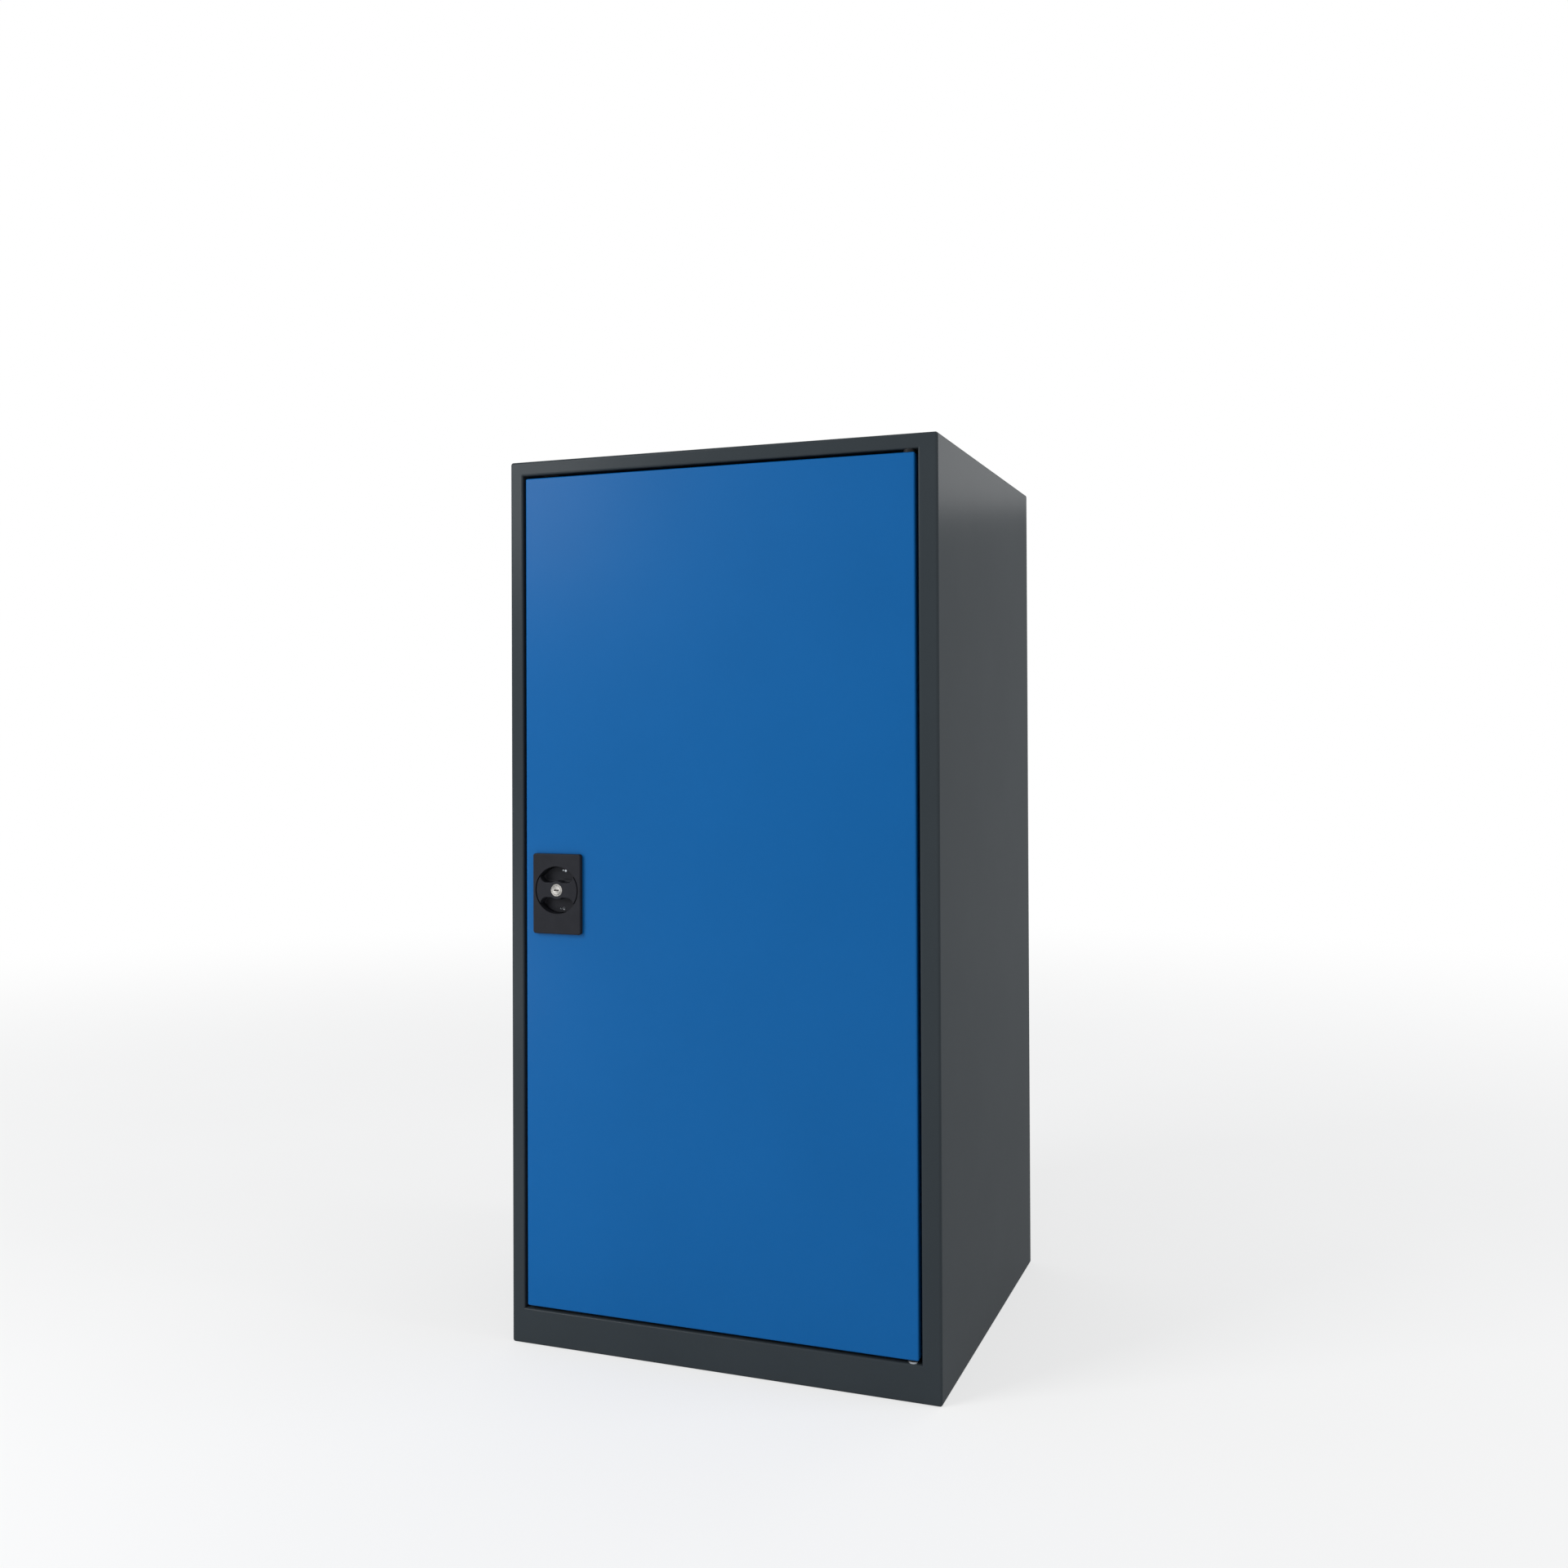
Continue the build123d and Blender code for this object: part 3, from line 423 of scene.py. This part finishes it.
def apply_modifier(piece, kind, **settings):
    """Leaves edit mode, adds one modifier and applies it."""
    bpy.ops.object.mode_set(mode="OBJECT")
    bpy.context.view_layer.objects.active = piece
    made = piece.modifiers.new(kind.lower(), kind)
    for key, value in settings.items():
        setattr(made, key, value)
    bpy.ops.object.modifier_apply(modifier=made.name)


def joined(name, pieces):
    """Several pieces as one object."""
    bpy.ops.object.select_all(action="DESELECT")
    for piece in pieces:
        piece.select_set(True)
    bpy.context.view_layer.objects.active = pieces[0]
    bpy.ops.object.join()
    pieces[0].name = name
    return pieces[0]


def copied(piece, moves):
    """The piece and, for each move, a copy of it with its own mesh."""
    pieces = [piece]
    for move in moves:
        bpy.ops.object.select_all(action="DESELECT")
        piece.select_set(True)
        bpy.context.view_layer.objects.active = piece
        bpy.ops.object.duplicate(linked=False)
        copy = bpy.context.object
        copy.location = move
        bpy.ops.object.transform_apply(location=True)
        pieces.append(copy)
    return pieces


def settle(piece, body, slot, angle=35):
    """Smooth shading, a finish and the body that carries the piece."""
    bpy.ops.object.mode_set(mode="OBJECT")
    bpy.ops.object.select_all(action="DESELECT")
    piece.select_set(True)
    bpy.context.view_layer.objects.active = piece
    bpy.ops.object.shade_smooth_by_angle(angle=radians(angle))
    piece.data.materials.clear()
    piece.data.materials.append(finishes[slot])
    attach(piece, body)
    piece.select_set(False)
    print(piece.name, len(piece.data.polygons), "faces on", body)


# %% [markdown]
# ## Marks on the knob
# Two pairs of small pale marks in the finger scoops tell which way the lock is turned: filled for shut,
# hollow for open. They could be printed, but a print is flat in a model. So they are inlaid studs: a
# short cylinder, half sunk in the floor of the scoop, whose front face is inset and then either raised
# or sunk to leave a ring.

# %% Knob marks
along_y = (pi / 2, 0, 0)
facing = 0.9
sharp_edge = radians(50)
scoop_depth = 0.0105
scoop_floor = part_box("knob")[0][1] + scoop_depth
mark_length = 0.0006
mark_rim_share = 0.34
mark_rise = 0.00012
mark_sink = 0.0004
mark_edge = 0.00008


def knob_mark(across, up, radius, hollow):
    """One inlaid stud, raised or hollow."""
    place = (axis_x + across, scoop_floor, axis_z + up)
    bpy.ops.mesh.primitive_cylinder_add(
        vertices=32, radius=radius, depth=mark_length, location=place, rotation=along_y
    )
    mark = new_piece("mark")
    pick_faces(mark, lambda middle, normal: normal.y < -facing)
    bpy.ops.mesh.inset(thickness=radius * mark_rim_share)
    bpy.ops.transform.translate(value=(0, mark_sink if hollow else -mark_rise, 0))
    apply_modifier(
        mark, "BEVEL", width=mark_edge, segments=2, limit_method="ANGLE", angle_limit=sharp_edge
    )
    return mark


shut_marks = joined("shut_marks", [
    knob_mark(across=0.0032, up=0.0217, radius=0.0010, hollow=False),
    knob_mark(across=0.0064, up=0.0212, radius=0.0015, hollow=False),
])
settle(shut_marks, "knob", "zinc_plate")
open_marks = joined("open_marks", [
    knob_mark(across=0.0006, up=-0.0211, radius=0.0011, hollow=True),
    knob_mark(across=0.0040, up=-0.0211, radius=0.0014, hollow=True),
])
settle(open_marks, "knob", "zinc_plate")

# %% [markdown]
# ## Key cylinder
# The cylinder is turned on a lathe and nickel plated: a flat rim with a small chamfer and a shallow
# groove round the plug. A lathe shape is a circle that is extruded and widened step by step, so that is
# how it is made here.

# %% Steps of the key cylinder
cylinder_radius = (cylinder_high[0] - cylinder_low[0]) / 2
cylinder_length = cylinder_high[1] - cylinder_low[1]
bore_radius = 0.00505
bore_start = 0.0014
bore_chamfer = 0.0003
groove_off_bore = 0.0006
groove_radius = bore_radius + groove_off_bore
groove_slope = 0.0001
groove_floor = 0.00025
groove_depth = 0.00018
rim_chamfer = 0.00035
# (radius, depth behind the front of the cylinder), from the bore round the front to the back
ring_steps = (
    (bore_radius, bore_start),
    (bore_radius, bore_chamfer),
    (bore_radius + bore_chamfer, 0.0),
    (groove_radius, 0.0),
    (groove_radius + groove_slope, groove_depth),
    (groove_radius + groove_slope + groove_floor, groove_depth),
    (groove_radius + groove_slope * 2 + groove_floor, 0.0),
    (cylinder_radius - rim_chamfer, 0.0),
    (cylinder_radius, rim_chamfer),
    (cylinder_radius, cylinder_length),
    (bore_radius, cylinder_length),
)
print("cylinder in", len(ring_steps), "steps")

# %% Key cylinder
merge_distance = 0.000005
bpy.ops.mesh.primitive_circle_add(
    vertices=96, radius=bore_radius, location=(axis_x, cylinder_low[1] + bore_start, axis_z),
    rotation=along_y,
)
ring = new_piece("turned_cylinder")
bpy.ops.object.mode_set(mode="EDIT")
bpy.ops.mesh.select_mode(type="VERT")
bpy.ops.mesh.select_all(action="SELECT")
for (radius, depth), (next_radius, next_depth) in zip(ring_steps, ring_steps[1:]):
    bpy.ops.mesh.extrude_region_move()
    wider = next_radius / radius
    bpy.ops.transform.resize(value=(wider, 1, wider), center_override=(axis_x, 0, axis_z))
    bpy.ops.transform.translate(value=(0, next_depth - depth, 0))
bpy.ops.mesh.extrude_region_move()
bpy.ops.transform.translate(value=(0, bore_start - cylinder_length, 0))
bpy.ops.mesh.select_all(action="SELECT")
bpy.ops.mesh.remove_doubles(threshold=merge_distance)
bpy.ops.mesh.normals_make_consistent(inside=False)
settle(ring, "knob", "nickel_plate", angle=25)
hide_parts("lock_cylinder")

# %% [markdown]
# ## Screws with a cross recess
# Behind the door, two pan-head screws hold the lock case and one holds the latch cam. A pan head is a
# disc with a rounded rim; its shank is inset and extruded from below; and the cross is cut by two
# crossing wedges with a Boolean modifier, just as the punch of a screw machine would sink it.

# %% Screw helper
head_rim_share = 0.42
slot_length_share = 1.15
slot_depth_share = 1.1
slot_width_share = 0.24
slot_taper = 0.45


def cross_screw(name, across, up, seat, head_height, head_radius, shank_radius, shank_length):
    """One pan-head screw whose head looks along +Y."""
    bpy.ops.mesh.primitive_cylinder_add(
        vertices=48, radius=head_radius, depth=head_height,
        location=(across, seat + head_height / 2, up), rotation=along_y,
    )
    screw = new_piece(name)
    pick_faces(screw, lambda middle, normal: normal.y > facing)
    bpy.ops.mesh.bevel(offset=head_height * head_rim_share, segments=4, affect="EDGES")
    pick_faces(screw, lambda middle, normal: normal.y < -facing)
    bpy.ops.mesh.inset(thickness=head_radius - shank_radius)
    bpy.ops.mesh.extrude_region_move(TRANSFORM_OT_translate={"value": (0, -shank_length, 0)})
    bpy.ops.object.mode_set(mode="OBJECT")
    slot_length = head_radius * slot_length_share
    slot_depth = head_height * slot_depth_share
    slot_width = head_radius * slot_width_share
    for turn in (pi / 4, -pi / 4):
        bpy.ops.object.select_all(action="DESELECT")
        bpy.ops.mesh.primitive_cube_add(
            size=1, location=(across, seat + head_height, up), rotation=(0, turn, 0),
            scale=(slot_length, slot_depth, slot_width),
        )
        wedge = new_piece("wedge")
        pick_faces(wedge, lambda middle, normal: normal.y < -facing)
        bpy.ops.transform.resize(value=(slot_taper, 1, slot_taper))
        apply_modifier(screw, "BOOLEAN", operation="DIFFERENCE", object=wedge, solver="EXACT")
        bpy.data.objects.remove(wedge)
    return screw


# %% Screws of the lock case
screws_low, screws_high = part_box("lock_screws")
case_head_height = 0.0022
case_head_radius = 0.0034
case_shank_radius = 0.0019
case_seat = screws_high[1] - case_head_height
screw_rows = (screws_low[2] + case_head_radius, screws_high[2] - case_head_radius)
case_screws = joined("case_screws", [
    cross_screw(
        "screw", axis_x, row, case_seat, case_head_height, case_head_radius,
        case_shank_radius, shank_length=case_seat - screws_low[1],
    )
    for row in screw_rows
])
settle(case_screws, "door", "zinc_plate")
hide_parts("lock_screws")

# %% Screw of the latch cam
cam_low, cam_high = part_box("cam_screw")
cam_head_height = 0.0024
cam_head_radius = 0.0042
cam_shank_radius = 0.0020
cam_seat = cam_high[1] - cam_head_height
cam_bolt = cross_screw(
    "cam_pan_screw", axis_x, axis_z, cam_seat, cam_head_height, cam_head_radius,
    cam_shank_radius, shank_length=cam_seat - cam_low[1],
)
settle(cam_bolt, "knob", "zinc_plate")
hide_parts("cam_screw")

# %% [markdown]
# ## Chamfered hinge nuts
# A hexagon nut is cut from bar and its corners are turned off at a slant on both ends. The hexagon is a
# six-sided cylinder; a round cylinder with bevelled rims is laid over it, and a Boolean keeps only what
# both share.

# %% Hinge nuts
nuts_low, nuts_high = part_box("hinge_nuts")
pivot_x = (nuts_low[0] + nuts_high[0]) / 2
pivot_y = (nuts_low[1] + nuts_high[1]) / 2
nut_height = 0.006
nut_radius = (nuts_high[0] - nuts_low[0]) / 2
nut_chamfer = 0.0007
nut_bore_radius = 0.00405
# The round cylinder is a hair larger than the hexagon, so that no two faces coincide
over_radius = nut_radius * 1.004
over_height = nut_height * 1.0001
bore_height = nut_height * 1.5


def hinge_nut(low):
    """One nut with its lower face at a height."""
    middle = (pivot_x, pivot_y, low + nut_height / 2)
    bpy.ops.mesh.primitive_cylinder_add(
        vertices=6, radius=nut_radius, depth=nut_height, location=middle, rotation=(0, 0, pi / 2)
    )
    nut = new_piece("nut")
    bpy.ops.mesh.primitive_cylinder_add(
        vertices=64, radius=over_radius, depth=over_height, location=middle
    )
    turned = new_piece("turned")
    pick_faces(turned, lambda middle, normal: abs(normal.z) > facing)
    bpy.ops.mesh.bevel(offset_type="OFFSET", offset=nut_chamfer, segments=1, affect="EDGES")
    apply_modifier(nut, "BOOLEAN", operation="INTERSECT", object=turned, solver="EXACT")
    bpy.data.objects.remove(turned)
    bpy.ops.object.select_all(action="DESELECT")
    bpy.ops.mesh.primitive_cylinder_add(
        vertices=48, radius=nut_bore_radius, depth=bore_height, location=middle
    )
    bore = new_piece("bore")
    apply_modifier(nut, "BOOLEAN", operation="DIFFERENCE", object=bore, solver="EXACT")
    bpy.data.objects.remove(bore)
    return nut


pivot_nuts = joined("pivot_nuts", [hinge_nut(nuts_low[2]), hinge_nut(nuts_high[2] - nut_height)])
settle(pivot_nuts, "cabinet", "zinc_plate", angle=25)
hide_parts("hinge_nuts")

# %% [markdown]
# ## Door buffers
# The door lands on two rubber buttons. A moulded button is never a sharp disc: its rim is round and its
# face is a little dished. A cylinder gets a wide rounded bevel, and its face is inset and pushed in.

# %% Buffers
buffers_low, buffers_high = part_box("door_buffers")
buffer_radius = (buffers_high[0] - buffers_low[0]) / 2
buffer_length = buffers_high[1] - buffers_low[1]
buffer_x = buffers_low[0] + buffer_radius
buffer_y = (buffers_low[1] + buffers_high[1]) / 2
buffer_rounding = 0.0016
buffer_rim = 0.0016
buffer_dish = 0.0005


def buffer(up):
    """One button that looks along -Y."""
    bpy.ops.mesh.primitive_cylinder_add(
        vertices=48, radius=buffer_radius, depth=buffer_length,
        location=(buffer_x, buffer_y, up), rotation=along_y,
    )
    button = new_piece("button")
    pick_faces(button, lambda middle, normal: normal.y < -facing)
    bpy.ops.mesh.bevel(offset=buffer_rounding, segments=5, affect="EDGES")
    pick_faces(button, lambda middle, normal: normal.y < -facing)
    bpy.ops.mesh.inset(thickness=buffer_rim)
    bpy.ops.transform.translate(value=(0, buffer_dish, 0))
    bpy.ops.object.mode_set(mode="OBJECT")
    return button


buffer_rows = (buffers_low[2] + buffer_radius, buffers_high[2] - buffer_radius)
buttons = joined("buffer_buttons", [buffer(row) for row in buffer_rows])
settle(buttons, "cabinet", "rubber")
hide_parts("door_buffers")

# %% [markdown]
# ## Painted shade: a dark ring on the upper pivot
# Seen through the gap over the door, the upper pivot is dark, while the lower one glints. So a dark
# moulded nylon ring sits on the upper bush and covers the collar of the pin. It is painted shade: a
# dark part that stands in for the shade in that gap. It is a short tube: an open cylinder whose wall
# gets its thickness from a Solidify modifier.

# %% Dark ring, painted shade on the upper pivot
bush_low, bush_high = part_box("pivot_bush_top")
ring_radius = (bush_high[0] - bush_low[0]) / 2
ring_height = 0.0019
ring_wall = 0.00042
ring_edge = 0.00012
bpy.ops.mesh.primitive_cylinder_add(
    vertices=64, radius=ring_radius, depth=ring_height, end_fill_type="NOTHING",
    location=(pivot_x, pivot_y, bush_high[2] + ring_height / 2),
)
pivot_shade_ring = new_piece("upper_pivot_shade_ring")
apply_modifier(pivot_shade_ring, "SOLIDIFY", thickness=ring_wall, offset=-1)
apply_modifier(
    pivot_shade_ring, "BEVEL", width=ring_edge, segments=2, limit_method="ANGLE", angle_limit=sharp_edge
)
# Its dark nylon is painted shade: it darkens the upper pivot in the gap over the door.
settle(pivot_shade_ring, "door", "nylon")

# %% [markdown]
# ## Spot welds
# The stiffener is welded to the door through its two flanges. A spot weld is a shallow dimple with a
# low rim, pressed by the electrodes and then painted over. One is modelled and copied along both
# flanges.

# %% Places of the spot welds
stiffener_low, stiffener_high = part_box("door_stiffener")
flange_behind_face = 0.002
flange_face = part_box("door_skin")[0][1] + flange_behind_face
weld_in = 0.0075
weld_columns = (stiffener_low[0] + weld_in, stiffener_high[0] - weld_in)
weld_start = 0.03
weld_pitch = 0.0606
weld_count = 15
weld_rows = [stiffener_low[2] + weld_start + step * weld_pitch for step in range(weld_count)]
weld_moves = [
    (column - weld_columns[0], 0, row - weld_rows[0]) for column in weld_columns for row in weld_rows
]
print(len(weld_moves), "spot welds")

# %% Spot welds
weld_radius = 0.0032
weld_height = 0.0004
weld_rim = 0.0005
weld_slope = 0.0006
weld_sink = 0.00016
bpy.ops.mesh.primitive_cylinder_add(
    vertices=16, radius=weld_radius, depth=weld_height,
    location=(weld_columns[0], flange_face, weld_rows[0]), rotation=along_y,
)
weld = new_piece("weld")
pick_faces(weld, lambda middle, normal: normal.y > facing)
bpy.ops.mesh.inset(thickness=weld_rim)
bpy.ops.mesh.inset(thickness=weld_slope)
bpy.ops.transform.translate(value=(0, -weld_sink, 0))
bpy.ops.object.mode_set(mode="OBJECT")
spot_welds = joined("stiffener_spot_welds", copied(weld, weld_moves[1:]))
settle(spot_welds, "door", "door_paint", angle=60)

# %% [markdown]
# ## Welded back panel
# From behind, the cabinet is one large sheet, folded in at its foot and welded to the walls, the top
# and the floor. What one sees there is the fine joint round the sheet and the rows of weld dimples
# under the paint. The sheet starts as a flat strip, the foot flange; its rear edge is spun round the
# bend and extruded up, and a Solidify modifier gives it the thickness. Short steps on both sides of the
# bend keep its smooth shading off the flat sheet.

# %% Back sheet
back_low, back_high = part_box("back_panel")
back_middle = (back_low[0] + back_high[0]) / 2
back_width = back_high[0] - back_low[0]
sheet_thickness = 0.001
bend_radius = 0.003
short_step = 0.0005
bend_y = back_high[1] - bend_radius
bend_z = back_low[2] + bend_radius
flange_run = bend_y - short_step - back_low[1]
flange_y = back_low[1] + flange_run / 2
bpy.ops.object.select_all(action="DESELECT")
bpy.ops.mesh.primitive_plane_add(size=1, location=(back_middle, flange_y, back_low[2]))
bpy.ops.transform.resize(value=(back_width, flange_run, 1))
back_sheet = new_piece("welded_back_panel")
pick_edges(back_sheet, lambda one, other: min(one.y, other.y) > flange_y)
bpy.ops.mesh.extrude_region_move(TRANSFORM_OT_translate={"value": (0, short_step, 0)})
bpy.ops.mesh.spin(steps=6, angle=pi / 2, center=(0, bend_y, bend_z), axis=(-1, 0, 0))
for rise in (short_step, back_high[2] - bend_z - short_step):
    bpy.ops.mesh.extrude_region_move(TRANSFORM_OT_translate={"value": (0, 0, rise)})
bpy.ops.mesh.select_all(action="SELECT")
bpy.ops.mesh.remove_doubles(threshold=merge_distance)
bpy.ops.mesh.normals_make_consistent(inside=False)
apply_modifier(back_sheet, "SOLIDIFY", thickness=sheet_thickness, offset=-1, use_even_offset=True)
print("back sheet", [round(size, 4) for size in back_sheet.dimensions])

# %% [markdown]
# ## Joint, dimples and wall holes
# The joint is a narrow bevel along the two long edges and the top one. A spot weld leaves a dimple,
# which a shallow cone sinks here; one cone is copied along the edges and over the flange of the floor
# panel. Two cylinders cut the holes for the wall screws, at the place that the frame gives. All the
# cutters are joined, so one Boolean does it.

# %% Joint
joint_bevel = 0.0006
near = 0.0001


def on_joint(one, other):
    """True for an edge of the outer face that reaches the top of the sheet."""
    outer = min(one.y, other.y) > back_high[1] - near
    return outer and max(one.z, other.z) > back_high[2] - near


pick_edges(back_sheet, on_joint)
bpy.ops.mesh.bevel(offset=joint_bevel, segments=2, affect="EDGES")
bpy.ops.object.mode_set(mode="OBJECT")
print("joint bevelled,", len(back_sheet.data.polygons), "faces")

# %% Places of the dimples
edge_in = 0.010
side_columns = (back_low[0] + edge_in, back_high[0] - edge_in)
side_start = 0.06
side_pitch = 0.072
side_count = 13
side_rows = [back_low[2] + side_start + step * side_pitch for step in range(side_count)]
floor_row = 0.035
cross_rows = (back_low[2] + floor_row, back_high[2] - edge_in)
cross_pitch = 0.076
cross_columns = [back_middle + step * cross_pitch for step in (-2, -1, 0, 1, 2)]
dimple_places = [(column, row) for column in side_columns for row in side_rows]
dimple_places += [(column, row) for row in cross_rows for column in cross_columns]
print(len(dimple_places), "dimples")

# %% Dimples and wall holes
dimple_mouth = 0.0052
dimple_floor = 0.0026
dimple_height = 0.0010
hole_cut = 0.02
first_x, first_z = dimple_places[0]
bpy.ops.object.select_all(action="DESELECT")
bpy.ops.mesh.primitive_cone_add(
    vertices=20, radius1=dimple_mouth, radius2=dimple_floor, depth=dimple_height,
    location=(first_x, back_high[1], first_z), rotation=along_y,
)
dimple_moves = [(column - first_x, 0, row - first_z) for column, row in dimple_places[1:]]
cutters = copied(new_piece("dimple"), dimple_moves)
wall_holes = next(mount for mount in frame["record"]["mounts"] if mount["name"] == "wall_holes")
hole_radius = wall_holes["dims"]["hole_r_mm"] / 1000
hole_spacing = wall_holes["dims"]["spacing_x_mm"] / 1000
for side in (-0.5, 0.5):
    bpy.ops.object.select_all(action="DESELECT")
    bpy.ops.mesh.primitive_cylinder_add(
        vertices=48, radius=hole_radius, depth=hole_cut, rotation=along_y,
        location=Vector(wall_holes["pos_m"]) + Vector((side * hole_spacing, 0, 0)),
    )
    cutters.append(new_piece("wall_hole"))
cutter = joined("cutters", cutters)
apply_modifier(back_sheet, "BOOLEAN", operation="DIFFERENCE", object=cutter, solver="EXACT")
bpy.data.objects.remove(cutter)
settle(back_sheet, "cabinet", "carcass_paint", angle=18)
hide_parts("back_panel")
